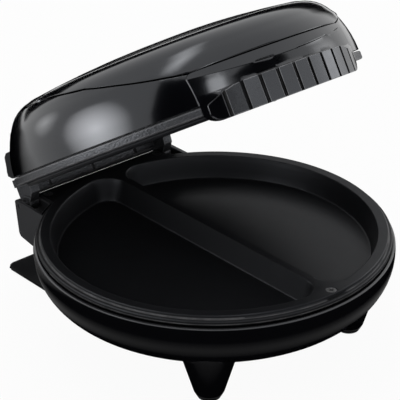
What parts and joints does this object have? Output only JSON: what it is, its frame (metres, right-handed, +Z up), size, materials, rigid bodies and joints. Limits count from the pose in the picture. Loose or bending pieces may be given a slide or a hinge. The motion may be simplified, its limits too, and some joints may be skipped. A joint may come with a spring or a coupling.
{
  "type": "electric omelette maker",
  "caption": "Round countertop omelette cooker: bowl body on feet, hinged domed lid with ribbed grip, D-shaped pockets in upper and lower plates",
  "frame": {"origin": "on the table, centred left to right and front to back under the part with its lid at rest", "axes": "+Z up, the handle faces -Y, the lid's hinge runs along X at the back (+Y)"},
  "size_m": [0.22, 0.2484, 0.2143],
  "materials": {
    "gloss_black": "moulded gloss black plastic",
    "gloss_black_lid": "moulded gloss black plastic",
    "grained_black": "fine grained black plastic",
    "satin_grip": "satin dark grey plastic",
    "matt_black": "matt black plastic",
    "pad_rubber": "soft black rubber",
    "coated_plate": "cast plate with a charcoal non-stick coat",
    "heater_steel": "dull steel tube",
    "strap_steel": "bent steel strap",
    "shield_aluminium": "pressed aluminium sheet",
    "zinc_screw": "zinc plated steel",
    "dark_screw": "blackened steel",
    "pin_steel": "bright steel pin",
    "stat_ceramic": "dark moulded body",
    "sleeve_ceramic": "white sleeve",
    "block_ceramic": "off-white block",
    "lead_sleeve": "woven glass sleeve",
    "red_lens": "clear red lens",
    "green_lens": "clear green lens"
  },
  "bodies": {
    "base": {"base_shell": "gloss_black", "front_feet": "gloss_black", "rear_legs": "gloss_black", "foot_pads": "pad_rubber", "foot_screws": "zinc_screw", "lower_plate": "coated_plate", "lower_heater": "heater_steel", "lower_heater_clamps": "strap_steel", "lower_shield": "shield_aluminium", "lower_shield_screws": "zinc_screw", "lower_plate_screws": "dark_screw", "thermostat": "stat_ceramic", "thermal_fuse": "sleeve_ceramic", "terminal_block": "block_ceramic", "base_leads": "lead_sleeve", "cord_bush": "matt_black", "hinge_pins": "pin_steel", "lead_tube": "lead_sleeve"},
    "lid": {"lid_shell": "gloss_black_lid", "lid_hood": "gloss_black_lid", "lid_frame": "grained_black", "handle_body": "gloss_black_lid", "handle_grip": "satin_grip", "handle_screws": "zinc_screw", "lid_stands": "matt_black", "upper_plate": "coated_plate", "upper_heater": "heater_steel", "upper_heater_clamps": "strap_steel", "upper_shield": "shield_aluminium", "upper_shield_screws": "zinc_screw", "upper_plate_screws": "dark_screw", "lid_frame_screws": "zinc_screw", "power_light": "red_lens", "ready_light": "green_lens", "lamp_holder": "block_ceramic", "lid_leads": "lead_sleeve"}
  },
  "joints": [
    {"name": "lid_hinge", "type": "hinge", "parent": "base", "child": "lid", "pos_m": [0, 0.1003, 0.0585], "axis": [-1, 0, 0], "range_deg": [-31.7, 63.3]}
  ]
}
